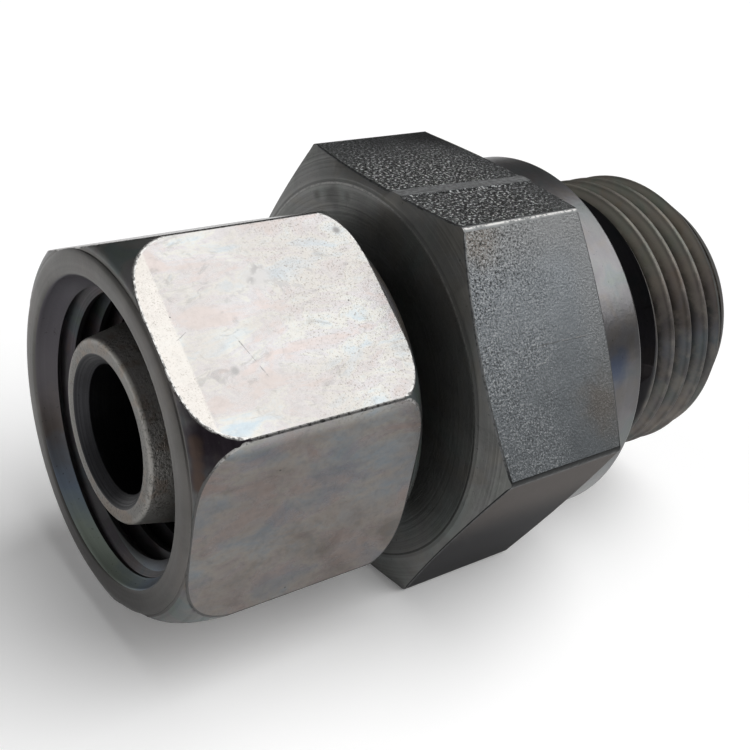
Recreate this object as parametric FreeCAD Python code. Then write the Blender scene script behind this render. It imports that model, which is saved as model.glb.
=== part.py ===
import FreeCAD, Part
import math
import os

# A swivel stud coupling lying along X. The origin is on its axis, in the plane of the collar face that
# seals on the port. The threaded stud points to -X and the swivel nut to +X. Millimetres and degrees.

# Port stud: parallel pipe thread G 1/2
STUD_THREAD_DIA = 20.955
STUD_LENGTH = 14.0
STUD_END_DEPTH = 1.7
STUD_END_ANGLE = 30.0
UNDERCUT_DIA = 18.2
UNDERCUT_LENGTH = 4.3
UNDERCUT_RUN_OUT = 0.6

# Collar with a narrow sealing land and a dished face inside it
COLLAR_DIA = 26.0
COLLAR_LENGTH = 3.5
COLLAR_EDGE = 0.2
LAND_WIDTH = 1.2
DISH_DEPTH = 0.45

# Body hexagon, turned at both ends
BODY_ACROSS_FLATS = 27.0
BODY_HEX_LENGTH = 10.9
BODY_FACE_DIA = 25.4
BODY_FRONT_ANGLE = 16.5
BODY_REAR_ANGLE = 15.0
BODY_EDGE_ROUND = 0.45

# Bore through the body
BORE_DIA = 8.0
BORE_NOSE_MOUTH_DIA = 9.4
BORE_NOSE_MOUTH_DEPTH = 0.7
BORE_STUD_MOUTH = 0.5

# Cone nose, and the neck and shoulder that carry the nut
CONE_ANGLE = 24.0
NOSE_TIP_DIA = 11.3
NOSE_EDGE = 0.2
CONE_LARGE_DIA = 14.3
SHOULDER_DIA = 15.4
NECK_DIA = 11.4
NECK_FLARE = 0.8
SEAT_ANGLE = 45.0

# Rubber ring in the cone
RING_SECTION_DIA = 1.5
RING_FROM_TIP = 5.2
RING_STANDS_PROUD = 0.15
RING_GROOVE_WIDTH = 2.0
RING_EASE = 0.02
RING_SIDES = 12

# Swivel nut: metric thread M18 x 1.5
NUT_ACROSS_FLATS = 22.0
NUT_LENGTH = 16.35
NUT_BODY_GAP = 1.95
NUT_TURNED_BY = 24.9
NUT_EDGE_ROUND = 0.2
NUT_THREAD_DIA = 18.0
NUT_THREAD_PITCH = 1.5
NUT_MOUTH_DIA = 18.8
NUT_MOUTH_INNER_DIA = 18.1
NUT_MOUTH_DEPTH = 1.0
NUT_FACE_DIA = 20.6
NUT_FACE_STEP = 0.25
NUT_FRONT_ROUND = 3.75
NUT_REAR_ROUND = 2.4
NUT_SKIRT_LENGTH = 1.0
NUT_SKIRT_FACE_DIA = 19.0
NUT_RELIEF_DIA = 18.6
NUT_RELIEF_LENGTH = 2.5
NUT_BEHIND_SEAT = 2.0
NOSE_INSIDE_NUT = 0.6

# Clearances between the body and the turning nut
NECK_CLEARANCE = 0.3
SEAT_CLEARANCE = 0.3

# Straight runs in each rounded end of the nut
ROUND_STEPS = 4

# Places along the axis
BODY_FACE_X = COLLAR_LENGTH + BODY_HEX_LENGTH
NUT_REAR_X = BODY_FACE_X + NUT_BODY_GAP
NUT_FRONT_X = NUT_REAR_X + NUT_LENGTH
NOSE_TIP_X = NUT_FRONT_X - NOSE_INSIDE_NUT
RING_X = NOSE_TIP_X - RING_FROM_TIP

# Radii that follow from the sizes above
CONE_SLOPE = math.tan(math.radians(CONE_ANGLE / 2))
RING_RADIUS_ON_CONE = NOSE_TIP_DIA / 2 + RING_FROM_TIP * CONE_SLOPE
GROOVE_FLOOR_RADIUS = RING_RADIUS_ON_CONE + RING_STANDS_PROUD - RING_SECTION_DIA
NUT_BORE_RADIUS = (NUT_THREAD_DIA - 1.0825 * NUT_THREAD_PITCH) / 2
NUT_HOLE_RADIUS = NECK_DIA / 2 + NECK_CLEARANCE

ORIGIN = FreeCAD.Vector(0, 0, 0)
ALONG = FreeCAD.Vector(1, 0, 0)


def at(x, radius):
    """A point of a turned outline."""
    return FreeCAD.Vector(x, 0, radius)


def quarter_round(corner_x, corner_radius, face_x, face_radius):
    """Points of a quarter ellipse from the outside of a nut down to its face, in short straight runs."""
    points = []
    for step in range(ROUND_STEPS + 1):
        angle = math.pi / 2 * (1 - step / ROUND_STEPS)
        x = corner_x + (face_x - corner_x) * math.cos(angle)
        points.append(at(x, face_radius + (corner_radius - face_radius) * math.sin(angle)))
    return points


def turned(outline):
    """Solid of revolution of a closed outline of points about the axis."""
    wire = Part.makePolygon(outline + outline[:1])
    return Part.Face(wire).revolve(ORIGIN, ALONG, 360)


def hexagon_bar(across_flats, start_x, end_x, turned_by, edge_round):
    """Hexagonal bar along the axis with rounded long edges; unturned it has a flat on top."""
    radius = across_flats / math.sqrt(3)
    corners = []
    for step in range(7):
        angle = math.radians(turned_by + 60 * step)
        corners.append(FreeCAD.Vector(start_x, radius * math.cos(angle), radius * math.sin(angle)))
    bar = Part.Face(Part.makePolygon(corners)).extrude(ALONG * (end_x - start_x))
    long_edges = [edge for edge in bar.Edges if abs(edge.tangentAt(edge.FirstParameter).x) > 0.99]
    return bar.makeFillet(edge_round, long_edges)


def make_stud_body():
    """Stud, collar, hexagon, neck, shoulder and cone nose, turned in one piece round the bore."""
    bore = BORE_DIA / 2
    thread = STUD_THREAD_DIA / 2
    undercut = UNDERCUT_DIA / 2
    collar = COLLAR_DIA / 2
    corner = BODY_ACROSS_FLATS / math.sqrt(3)
    face = BODY_FACE_DIA / 2
    neck = NECK_DIA / 2
    shoulder = SHOULDER_DIA / 2
    tip = NOSE_TIP_DIA / 2
    cone_large = CONE_LARGE_DIA / 2
    stud_end_slope = STUD_END_DEPTH / math.tan(math.radians(STUD_END_ANGLE))
    rear_slope = (corner - collar) * math.tan(math.radians(BODY_REAR_ANGLE))
    front_slope = (corner - face) * math.tan(math.radians(BODY_FRONT_ANGLE))
    seat_run = 1 / math.tan(math.radians(SEAT_ANGLE))
    seat_shift = SEAT_CLEARANCE / math.sin(math.radians(SEAT_ANGLE))
    shoulder_x = NUT_REAR_X + NUT_BEHIND_SEAT + seat_shift - NECK_CLEARANCE * seat_run
    cone_large_x = NOSE_TIP_X - (cone_large - tip) / CONE_SLOPE
    groove_start = RING_X - RING_GROOVE_WIDTH / 2
    groove_end = RING_X + RING_GROOVE_WIDTH / 2
    stud_side = [
        at(-STUD_LENGTH + BORE_STUD_MOUTH, bore),
        at(-STUD_LENGTH, bore + BORE_STUD_MOUTH),
        at(-STUD_LENGTH, thread - STUD_END_DEPTH),
        at(-STUD_LENGTH + stud_end_slope, thread),
        at(-UNDERCUT_LENGTH, thread),
        at(-UNDERCUT_LENGTH + UNDERCUT_RUN_OUT, undercut),
        at(DISH_DEPTH, undercut),
        at(0, collar - COLLAR_EDGE - LAND_WIDTH),
        at(0, collar - COLLAR_EDGE),
        at(COLLAR_EDGE, collar),
        at(COLLAR_LENGTH, collar),
        at(COLLAR_LENGTH + rear_slope, corner),
        at(BODY_FACE_X - front_slope, corner),
        at(BODY_FACE_X, face),
    ]
    nose_side = [
        at(BODY_FACE_X, neck + NECK_FLARE),
        at(BODY_FACE_X + NECK_FLARE, neck),
        at(shoulder_x, neck),
        at(shoulder_x + (shoulder - neck) * seat_run, shoulder),
        at(cone_large_x - (shoulder - cone_large), shoulder),
        at(cone_large_x, cone_large),
        at(groove_start, tip + (NOSE_TIP_X - groove_start) * CONE_SLOPE),
        at(groove_start, GROOVE_FLOOR_RADIUS),
        at(groove_end, GROOVE_FLOOR_RADIUS),
        at(groove_end, tip + (NOSE_TIP_X - groove_end) * CONE_SLOPE),
        at(NOSE_TIP_X - NOSE_EDGE, tip + NOSE_EDGE * CONE_SLOPE),
        at(NOSE_TIP_X, tip - NOSE_EDGE),
        at(NOSE_TIP_X, BORE_NOSE_MOUTH_DIA / 2),
        at(NOSE_TIP_X - BORE_NOSE_MOUTH_DEPTH, bore),
    ]
    blank = turned(stud_side + nose_side)
    bar = hexagon_bar(BODY_ACROSS_FLATS, -STUD_LENGTH - 1, NOSE_TIP_X + 1, 0, BODY_EDGE_ROUND)
    return blank.common(bar)


def make_swivel_nut():
    """Hexagon nut with rounded corners, a threaded bore and a skirt rolled in behind the shoulder."""
    flat = NUT_ACROSS_FLATS / 2
    corner = NUT_ACROSS_FLATS / math.sqrt(3)
    skirt_face = NUT_SKIRT_FACE_DIA / 2
    mouth = NUT_MOUTH_DIA / 2
    mouth_inner = NUT_MOUTH_INNER_DIA / 2
    relief = NUT_RELIEF_DIA / 2
    seat_run = 1 / math.tan(math.radians(SEAT_ANGLE))
    skirt_x = NUT_REAR_X + NUT_SKIRT_LENGTH
    shelf_x = NUT_FRONT_X - NUT_FACE_STEP
    mouth_x = NUT_FRONT_X - NUT_MOUTH_DEPTH
    seat_x = NUT_REAR_X + NUT_BEHIND_SEAT
    relief_x = seat_x + (relief - NUT_HOLE_RADIUS) * seat_run
    relief_end = relief_x + NUT_RELIEF_LENGTH
    skirt = quarter_round(skirt_x, flat, NUT_REAR_X, skirt_face)
    rear = quarter_round(skirt_x + NUT_REAR_ROUND, corner, skirt_x, flat)
    front = quarter_round(shelf_x - NUT_FRONT_ROUND, corner, shelf_x, flat)
    inside = [
        at(NUT_FRONT_X, NUT_FACE_DIA / 2),
        at(NUT_FRONT_X, mouth),
        at(mouth_x, mouth_inner),
        at(mouth_x - (mouth_inner - NUT_BORE_RADIUS), NUT_BORE_RADIUS),
        at(relief_end + (relief - NUT_BORE_RADIUS), NUT_BORE_RADIUS),
        at(relief_end, relief),
        at(relief_x, relief),
        at(seat_x, NUT_HOLE_RADIUS),
        at(NUT_REAR_X, NUT_HOLE_RADIUS),
    ]
    blank = turned(skirt[:0:-1] + rear[::-1] + front + inside)
    bar = hexagon_bar(NUT_ACROSS_FLATS, NUT_REAR_X - 1, NUT_FRONT_X + 1, NUT_TURNED_BY, NUT_EDGE_ROUND)
    return blank.common(bar)


def make_cone_o_ring():
    """Rubber ring seated in the groove of the cone; its round section has twelve sides."""
    section = RING_SECTION_DIA / 2
    centre_radius = GROOVE_FLOOR_RADIUS + RING_EASE + section
    outline = []
    for step in range(RING_SIDES):
        angle = 2 * math.pi * step / RING_SIDES
        outline.append(at(RING_X + section * math.cos(angle), centre_radius + section * math.sin(angle)))
    return turned(outline)


pieces = {
    "stud_body": make_stud_body(),
    "swivel_nut": make_swivel_nut(),
    "cone_o_ring": make_cone_o_ring(),
}
os.makedirs("parts", exist_ok=True)
for name, shape in pieces.items():
    shape.exportStep("parts/" + name + ".step")
    print(name, shape.isValid(), len(shape.Solids), round(shape.Volume, 1), shape.BoundBox)
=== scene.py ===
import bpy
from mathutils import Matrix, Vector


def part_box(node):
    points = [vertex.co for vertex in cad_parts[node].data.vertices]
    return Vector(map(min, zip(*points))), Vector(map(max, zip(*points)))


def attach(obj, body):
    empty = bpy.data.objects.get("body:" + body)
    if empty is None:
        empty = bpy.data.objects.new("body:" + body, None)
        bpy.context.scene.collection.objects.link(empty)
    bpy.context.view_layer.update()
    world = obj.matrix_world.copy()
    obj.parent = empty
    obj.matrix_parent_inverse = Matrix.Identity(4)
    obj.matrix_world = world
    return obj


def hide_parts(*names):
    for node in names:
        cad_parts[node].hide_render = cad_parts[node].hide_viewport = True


bl_info = {
    "name": "Swivel Stud Coupling",
    "version": (1, 0, 0),
    "blender": (4, 5, 0),
    "location": "3D View > Sidebar > Coupling",
    "description": "Dresses a steel swivel stud coupling: its forged body, swivel nut, rubber ring and stage",
    "category": "Object",
}

import math

import bmesh
import bpy
from bpy.props import FloatProperty, FloatVectorProperty, PointerProperty
from mathutils import Matrix, Vector

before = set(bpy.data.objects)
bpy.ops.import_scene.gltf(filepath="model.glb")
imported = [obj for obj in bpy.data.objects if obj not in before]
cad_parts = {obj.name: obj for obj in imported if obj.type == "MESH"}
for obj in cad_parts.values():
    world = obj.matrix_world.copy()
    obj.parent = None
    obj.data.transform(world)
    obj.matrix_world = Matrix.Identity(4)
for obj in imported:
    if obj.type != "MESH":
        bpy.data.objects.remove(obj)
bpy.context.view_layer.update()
BODY_LOW, BODY_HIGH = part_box("stud_body")
NUT_LOW, NUT_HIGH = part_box("swivel_nut")
RING_LOW, RING_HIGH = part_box("cone_o_ring")

MM = 0.001
# Points closer than the merge gap become one, and a cutter stands clear of what it cuts.
MERGE_GAP = 0.001 * MM
CLEARANCE = 0.3 * MM
# The smallest broken edge of a turned piece.
FINE = 0.06 * MM
TURNING_STEPS = 256
THREAD_STEPS = 128
RING_STEPS = 160
# The height over which height-bound colours run: plating tints with painted light in the nut's mouth, painted
# light and shade on the stud's thread.
TINT_SPAN = 20 * MM
BODY_SLOTS = ("flats", "turned", "face ring", "collar", "undercut", "stud", "nose", "bore", "edges", "rims",
              "seam")
NUT_SLOTS = ("flats", "corners", "face", "inside", "edges", "rims")

# Painted shade: brown on the body's lower flats and black towards their bottom.
BROWN_PAINTED_SHADE = (0.098, 0.084, 0.076)
BLACK_PAINTED_SHADE = (0.014, 0.014, 0.017)
# Painted shade round the nut's near front corner.
DARK_PAINTED_SHADE = (0.022, 0.016, 0.022)
BROWN_STREAK = (0.056, 0.037, 0.030)


def spot(x, y, z):
    """A place on the coupling, given here in millimetres."""
    return Vector((x, y, z)) * MM


# Stains have a centre, a reach and a colour.
BODY_STAINS = (
    (spot(12.5, 8.0, 12.6), 2.8 * MM, (0.162, 0.151, 0.138)),
    (spot(5.0, 13.6, 2.5), 3.6 * MM, (0.160, 0.150, 0.140)),
)
COLLAR_STAINS = (
    (spot(2.4, 12.3, 3.9), 2.3 * MM, (0.070, 0.085, 0.125)),
)
FACE_SMUDGES = (
    (spot(14.4, -5.8, 10.6), 0.8 * MM, (0.085, 0.085, 0.080)),
    (spot(14.4, -4.3, 11.2), 1.5 * MM, (0.075, 0.075, 0.072)),
    (spot(14.4, -2.5, 11.7), 0.6 * MM, (0.100, 0.100, 0.096)),
)
# Marks have a centre, a reach and a factor on the steel's colour.
NUT_MARKS = (
    (spot(25.07, 4.01, 10.63), 1.5 * MM, 0.86),
    (spot(28.71, 8.28, 7.62), 0.45 * MM, 0.62),
    (spot(18.57, 2.29, 11.84), 0.45 * MM, 0.45),
)
# Scratches have two ends, on the nut also a width, and a factor on the steel's colour.
BODY_SCRATCHES = (
    (spot(11.0, 11.70, 6.74), spot(5.1, 11.79, 6.57), 0.62),
    (spot(7.6, 11.73, 6.68), spot(5.2, 11.76, 6.63), 1.35),
    (spot(10.0, 12.27, 5.74), spot(9.1, 12.26, 5.76), 1.7),
    (spot(9.2, 12.22, 5.83), spot(8.5, 12.02, 6.18), 1.7),
)
NUT_SCRATCHES = (
    (spot(27.91, 6.55, 8.84), spot(26.92, 8.98, 7.14), 0.05 * MM, 0.45),
    (spot(31.17, 6.34, 8.99), spot(30.48, 6.01, 9.22), 0.05 * MM, 0.55),
    (spot(29.05, 10.58, 6.01), spot(27.71, 10.61, 5.99), 0.05 * MM, 0.70),
    (spot(24.62, 3.32, 11.11), spot(25.71, 4.35, 10.39), 0.34 * MM, 0.66),
    (spot(24.59, 3.38, 11.07), spot(23.52, 5.01, 9.92), 0.30 * MM, 0.74),
    (spot(25.71, 4.35, 10.39), spot(27.64, 4.99, 9.94), 0.22 * MM, 0.78),
    (spot(24.82, 4.27, 10.45), spot(22.32, 4.92, 9.98), 0.22 * MM, 0.76),
)


def length(name, description, default_mm):
    """A size in metres, given here in millimetres."""
    return FloatProperty(name=name, description=description, default=default_mm * MM,
                         unit="LENGTH", subtype="DISTANCE", precision=5)


def angle(name, description, degrees):
    """An angle, given here in degrees."""
    return FloatProperty(name=name, description=description, default=math.radians(degrees),
                         unit="ROTATION", subtype="ANGLE")


def colour(name, description, red, green, blue):
    """A linear colour."""
    return FloatVectorProperty(name=name, description=description, default=(red, green, blue),
                               size=3, min=0.0, max=1.0, subtype="COLOR")


def level(name, description, value, least=0.0):
    """A plain number, not below the least."""
    return FloatProperty(name=name, description=description, default=value, min=least)


def direction(name, description, x, y, z):
    """A direction away from the coupling."""
    return FloatVectorProperty(name=name, description=description, default=(x, y, z), size=3,
                               subtype="DIRECTION")


class StudBodySizes(bpy.types.PropertyGroup):
    """Sizes of the forged body: port stud, collar, hexagon and cone nose."""
    bore: length("Bore", "Diameter of the hole right through the body", 8.0)
    bore_mouth: length("Bore mouth", "Width of the bevel where the bore meets the stud's end", 0.5)
    nose_mouth: length("Nose mouth", "Diameter of the bevel where the bore meets the nose", 9.4)
    nose_mouth_depth: length("Nose mouth depth", "Depth of that bevel", 0.7)
    thread: length("Stud thread", "Major diameter of the pipe thread", 20.955)
    pitch: length("Stud pitch", "Pitch of the pipe thread", 1.814)
    stud_end: length("Stud end", "Depth of the bevel at the free end of the stud", 1.7)
    stud_end_angle: angle("Stud end angle", "Slope of that bevel to the axis", 30.0)
    undercut: length("Undercut", "Diameter of the groove between the collar and the thread", 18.2)
    undercut_length: length("Undercut length", "From the sealing face to the full thread", 4.3)
    run_out: length("Run-out", "Length of the groove's sloping end", 0.6)
    collar: length("Collar", "Diameter of the round collar", 26.0)
    collar_length: length("Collar length", "Length of the round collar", 3.5)
    collar_edge: length("Collar edge", "Bevel round the collar's rim", 0.2)
    land: length("Sealing land", "Width of the flat ring that seals on the port", 1.2)
    dish: length("Dish", "Depth of the hollow inside the sealing land", 0.45)
    hexagon_length: length("Hexagon length", "Length of the hexagon along the axis", 10.9)
    edge_round: length("Hexagon edge", "Radius along the hexagon's six long edges", 0.45)
    face: length("Turned face", "Diameter of the flat face towards the nut", 25.4)
    front_angle: angle("Front chamfer", "Slope of the hexagon's chamfer towards the nut", 16.5)
    rear_angle: angle("Rear chamfer", "Slope of the hexagon's chamfer towards the collar", 15.0)
    neck: length("Neck", "Diameter of the neck inside the nut", 11.4)
    neck_fillet: length("Neck fillet", "Radius where the neck meets the turned face", 0.8)
    shoulder: length("Shoulder", "Diameter of the shoulder that holds the nut", 15.4)
    shoulder_start: length("Shoulder start", "Place where the slope up to the shoulder begins", 18.474)
    cone_large: length("Cone large end", "Diameter of the cone where it meets the shoulder", 14.3)
    tip: length("Nose tip", "Diameter of the cone at its tip", 11.3)
    nose_edge: length("Nose edge", "Radius of the worn edge of the cone's tip", 0.28)
    cone: angle("Cone angle", "Whole angle of the sealing cone", 24.0)
    groove_width: length("Ring groove", "Width of the groove for the rubber ring", 2.0)
    groove_floor: length("Groove floor", "Radius of the floor of that groove", 5.405)
    edge_wear: length("Edge wear", "Width of the worn strip along the flats' edges", 0.10)
    seam_height: length("Seam height", "How far the forging seam stands out of the flats", 0.08)
    seam_width: length("Seam width", "Width of the forging seam", 1.3)
    seam_front: length("Seam front", "Sideways place of the seam at the nut end", 2.0)
    seam_rear: length("Seam rear", "Sideways place of the seam at the collar end", 2.6)


class SwivelNutSizes(bpy.types.PropertyGroup):
    """Sizes of the swivel nut."""
    across_flats: length("Across flats", "Distance between opposite flats", 22.0)
    turned_by: angle("Turned by", "Resting angle of the nut about the axis", 24.9)
    edge_round: length("Hexagon edge", "Radius along the hexagon's six long edges", 0.2)
    thread: length("Nut thread", "Major diameter of the metric thread", 18.0)
    pitch: length("Nut pitch", "Pitch of the metric thread", 1.5)
    mouth: length("Mouth", "Diameter of the countersink at the front face", 18.8)
    mouth_round: length("Mouth round", "Radius of the worn rim of the countersink", 0.38)
    mouth_inner: length("Mouth inside", "Diameter at the bottom of the countersink", 18.1)
    mouth_depth: length("Mouth depth", "Depth of the countersink", 1.0)
    face: length("Front face", "Outer diameter of the flat front face", 20.6)
    face_step: length("Face step", "Depth of the soft edge round the front face", 0.25)
    front_round: length("Front rounding", "Length of the rounded corners at the front", 3.75)
    rear_round: length("Rear rounding", "Length of the rounded corners at the rear", 2.4)
    skirt: length("Skirt", "Length of the rolled skirt behind the hexagon", 1.0)
    skirt_face: length("Skirt face", "Outer diameter of the skirt's end", 19.0)
    hole: length("Rear hole", "Diameter of the hole behind the shoulder", 12.0)
    seat: length("Seat depth", "From the skirt's end to the sloping seat", 2.0)
    relief: length("Relief", "Diameter of the groove behind the thread", 18.6)
    relief_length: length("Relief length", "Length of that groove", 2.5)
    edge_wear: length("Edge wear", "Width of the worn strip along the flats' edges", 0.10)


class RingSizes(bpy.types.PropertyGroup):
    """Sizes of the rubber ring."""
    section: length("Section", "Thickness of the rubber ring", 1.5)
    flash: length("Flash", "Height of the moulding line round the ring", 0.02)


class FinishColours(bpy.types.PropertyGroup):
    """Colours of the steel, rubber and floor."""
    forged: colour("Forged steel", "Grainy flats of the body", 0.162, 0.166, 0.167)
    turned: colour("Turned steel", "Turned faces of the body", 0.152, 0.156, 0.148)
    collar: colour("Collar steel", "Round collar behind the hexagon", 0.142, 0.142, 0.142)
    # Painted shade: the undercut is given this dark colour for the shadow in its deep groove.
    undercut: colour("Undercut", "Dark groove between the collar and the thread", 0.040, 0.039, 0.042)
    stud: colour("Stud steel", "End and thread of the stud", 0.195, 0.190, 0.178)
    nose: colour("Nose steel", "Cone nose and its mouth", 0.180, 0.174, 0.163)
    # Painted shade: the bore's walls are given this near-black colour for the shadow inside the hole.
    bore: colour("Bore", "Walls of the hole through the body", 0.035, 0.035, 0.038)
    nut: colour("Nut steel", "Flats of the nut", 0.313, 0.307, 0.301)
    # Painted shade: the nut's turned corners carry the same plating as its flats but are kept much darker.
    nut_turned: colour("Turned nut steel", "Rounded corners and rims of the nut", 0.128, 0.131, 0.124)
    nut_face: colour("Nut face", "Flat ring at the front of the nut", 0.118, 0.113, 0.107)
    nut_inside: colour("Nut inside", "Mouth and thread of the nut", 0.112, 0.106, 0.110)
    # On the upper edges this bare metal also stands in for their painted highlight.
    worn: colour("Worn edge", "Bare metal along worn edges", 0.34, 0.335, 0.325)
    rubber: colour("Rubber", "Black rubber ring", 0.02, 0.02, 0.022)
    floor: colour("Floor", "Pale floor", 0.95, 0.95, 0.95)


class StageSettings(bpy.types.PropertyGroup):
    """Camera, lamps and floor."""
    camera_place: FloatVectorProperty(name="Camera place", description="Where the camera stands",
                                      default=(0.058215, 0.055084, 0.038408), size=3,
                                      unit="LENGTH", subtype="TRANSLATION", precision=5)
    camera_turn: FloatVectorProperty(name="Camera turn", description="How the camera is turned",
                                     default=[math.radians(a) for a in (61.1791, -6.698, 143.7818)],
                                     size=3, unit="ROTATION", subtype="EULER")
    lens: level("Lens", "Focal length in millimetres", 56.966, 1.0)
    sensor: level("Sensor", "Sensor width in millimetres", 36.0, 1.0)
    floor_size: length("Floor size", "Side of the square floor", 6000.0)
    floor_glow: level("Floor glow", "Extra white of the floor where it is seen", 0.12)
    world_level: level("World level", "Strength of the even light", 0.08)
    lamp_level: level("Lamp level", "Strength of the large lamp overhead", 3.15)
    lamp_width: angle("Lamp width", "Angle that the large lamp fills", 72.0)
    lamp_aim: direction("Lamp direction", "Where the large lamp stands", -0.45, 0.30, 0.84)
    fill_level: level("Fill level", "Strength of the weak lamp in front of the nut", 0.30)
    fill_width: angle("Fill width", "Angle that the weak lamp fills", 80.0)
    fill_aim: direction("Fill direction", "Where the weak lamp stands", 0.85, -0.15, 0.50)


def deselect_all():
    """Object mode with nothing selected."""
    if bpy.context.object and bpy.context.object.mode != "OBJECT":
        bpy.ops.object.mode_set(mode="OBJECT")
    bpy.ops.object.select_all(action="DESELECT")


def make_active(piece):
    """The piece alone is selected and active."""
    deselect_all()
    piece.select_set(True)
    bpy.context.view_layer.objects.active = piece


def apply_modifier(piece, modifier):
    """Applies one modifier of the piece."""
    make_active(piece)
    bpy.ops.object.modifier_apply(modifier=modifier.name)


def at(x, radius):
    """A point of a turned outline, in the upright plane through the axis."""
    return Vector((x, 0.0, radius))


def quarter_round(corner_x, corner_radius, face_x, face_radius, steps):
    """Points of a quarter ellipse from the outside of a turned piece down to its face."""
    points = []
    for step in range(steps + 1):
        turn = math.pi / 2 * step / steps
        x = corner_x + (face_x - corner_x) * math.sin(turn)
        radius = face_radius + (corner_radius - face_radius) * math.cos(turn)
        points.append(at(x, radius))
    return points


def arc(centre_x, centre_radius, reach, first, last, steps):
    """Points of a circular arc; angles in degrees from +X towards the outside."""
    points = []
    for step in range(steps + 1):
        turn = math.radians(first + (last - first) * step / steps)
        points.append(at(centre_x + reach * math.cos(turn), centre_radius + reach * math.sin(turn)))
    return points


def draw_outline(name, points):
    """A closed wire drawn by pulling one vertex from point to point."""
    deselect_all()
    bpy.ops.mesh.primitive_plane_add(size=MM, location=(0, 0, 0))
    piece = bpy.context.object
    piece.name = name
    piece.data.name = name
    bpy.ops.object.mode_set(mode="EDIT")
    bpy.ops.mesh.merge(type="CENTER")
    bpy.ops.transform.translate(value=points[0])
    for start, end in zip(points, points[1:] + points[:1]):
        bpy.ops.mesh.extrude_vertices_move(TRANSFORM_OT_translate={"value": end - start})
    bpy.ops.mesh.select_all(action="SELECT")
    bpy.ops.mesh.remove_doubles(threshold=MERGE_GAP)
    return piece


def turn_solid(name, points, steps=TURNING_STEPS):
    """A closed outline spun round the axis into a solid."""
    piece = draw_outline(name, points)
    bpy.ops.mesh.spin(steps=steps, angle=2 * math.pi, center=(0, 0, 0), axis=(1, 0, 0))
    bpy.ops.mesh.select_all(action="SELECT")
    bpy.ops.mesh.remove_doubles(threshold=MERGE_GAP)
    bpy.ops.mesh.normals_make_consistent(inside=False)
    bpy.ops.object.mode_set(mode="OBJECT")
    return piece


def hexagon_bar(name, across_flats, low_x, high_x, turned_by, edge_round, trim=0.0):
    """A hexagonal bar along the axis with rounded long edges; unturned it has a flat on top.

    The trim is planed off the top and bottom flats.
    """
    deselect_all()
    bpy.ops.mesh.primitive_cylinder_add(
        vertices=6, radius=across_flats / math.sqrt(3), depth=high_x - low_x,
        location=((low_x + high_x) / 2, 0, 0), rotation=(0, math.radians(90), 0))
    bar = bpy.context.object
    bar.name = name
    bpy.ops.object.transform_apply(location=True, rotation=True, scale=True)
    first = max(bar.data.vertices, key=lambda vertex: vertex.co.y)
    drift = math.atan2(first.co.z, first.co.y)
    bar.data.transform(Matrix.Rotation(turned_by - drift, 4, "X"))
    bpy.ops.object.mode_set(mode="EDIT")
    if trim:
        for side in (1, -1):
            bpy.ops.mesh.select_all(action="SELECT")
            bpy.ops.mesh.bisect(plane_co=(0, 0, side * (across_flats / 2 - trim)), plane_no=(0, 0, side),
                                use_fill=True, clear_outer=True, threshold=MERGE_GAP)
    bpy.ops.mesh.select_mode(type="EDGE")
    bpy.ops.mesh.select_all(action="DESELECT")
    mesh = bmesh.from_edit_mesh(bar.data)
    for edge in mesh.edges:
        along = edge.verts[0].co - edge.verts[1].co
        edge.select = abs(along.x) > 0.9 * (high_x - low_x)
    bmesh.update_edit_mesh(bar.data)
    bpy.ops.mesh.bevel(offset=edge_round * math.tan(math.radians(30)), segments=4, profile=0.5,
                       clamp_overlap=False)
    bpy.ops.mesh.select_mode(type="VERT")
    bpy.ops.object.mode_set(mode="OBJECT")
    return bar


def add_seams(bar, sizes, across_flats):
    """Joins a low forging seam to the top and bottom flats of the bar, a little askew along it."""
    seam_length = sizes.hexagon_length + 2 * MM
    middle = Vector((sizes.collar_length + sizes.hexagon_length / 2, 0, 0))
    depth = MM
    crest_width = 0.75 * sizes.seam_width
    spread = 1 + 0.4 * depth / sizes.seam_height
    aside = (sizes.seam_front + sizes.seam_rear) / 2
    skew = math.atan2(sizes.seam_front - sizes.seam_rear, sizes.hexagon_length)
    for side in (1, -1):
        deselect_all()
        bpy.ops.mesh.primitive_cube_add(size=1.0, location=middle, scale=(seam_length, crest_width, depth))
        seam = bpy.context.object
        bpy.ops.object.transform_apply(location=True, rotation=True, scale=True)
        bpy.ops.object.mode_set(mode="EDIT")
        bpy.ops.mesh.select_mode(type="VERT")
        bpy.ops.mesh.select_all(action="DESELECT")
        mesh = bmesh.from_edit_mesh(seam.data)
        for vertex in mesh.verts:
            vertex.select = vertex.co.z * side < 0
        bmesh.update_edit_mesh(seam.data)
        bpy.ops.transform.resize(value=(1, spread, 1))
        bpy.ops.object.mode_set(mode="OBJECT")
        lift = side * (across_flats - depth) / 2
        seam.data.transform(Matrix.Translation(middle + Vector((0, aside, lift)))
                            @ Matrix.Rotation(skew, 4, "Z") @ Matrix.Translation(-middle))
        combine(bar, seam, "UNION")


def combine(piece, other, operation):
    """Joins, cuts or intersects two closed solids and removes the second."""
    modifier = piece.modifiers.new("combine", "BOOLEAN")
    modifier.operation = operation
    modifier.solver = "EXACT"
    modifier.material_mode = "TRANSFER"
    modifier.object = other
    apply_modifier(piece, modifier)
    bpy.data.objects.remove(other, do_unlink=True)
    return piece


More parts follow.
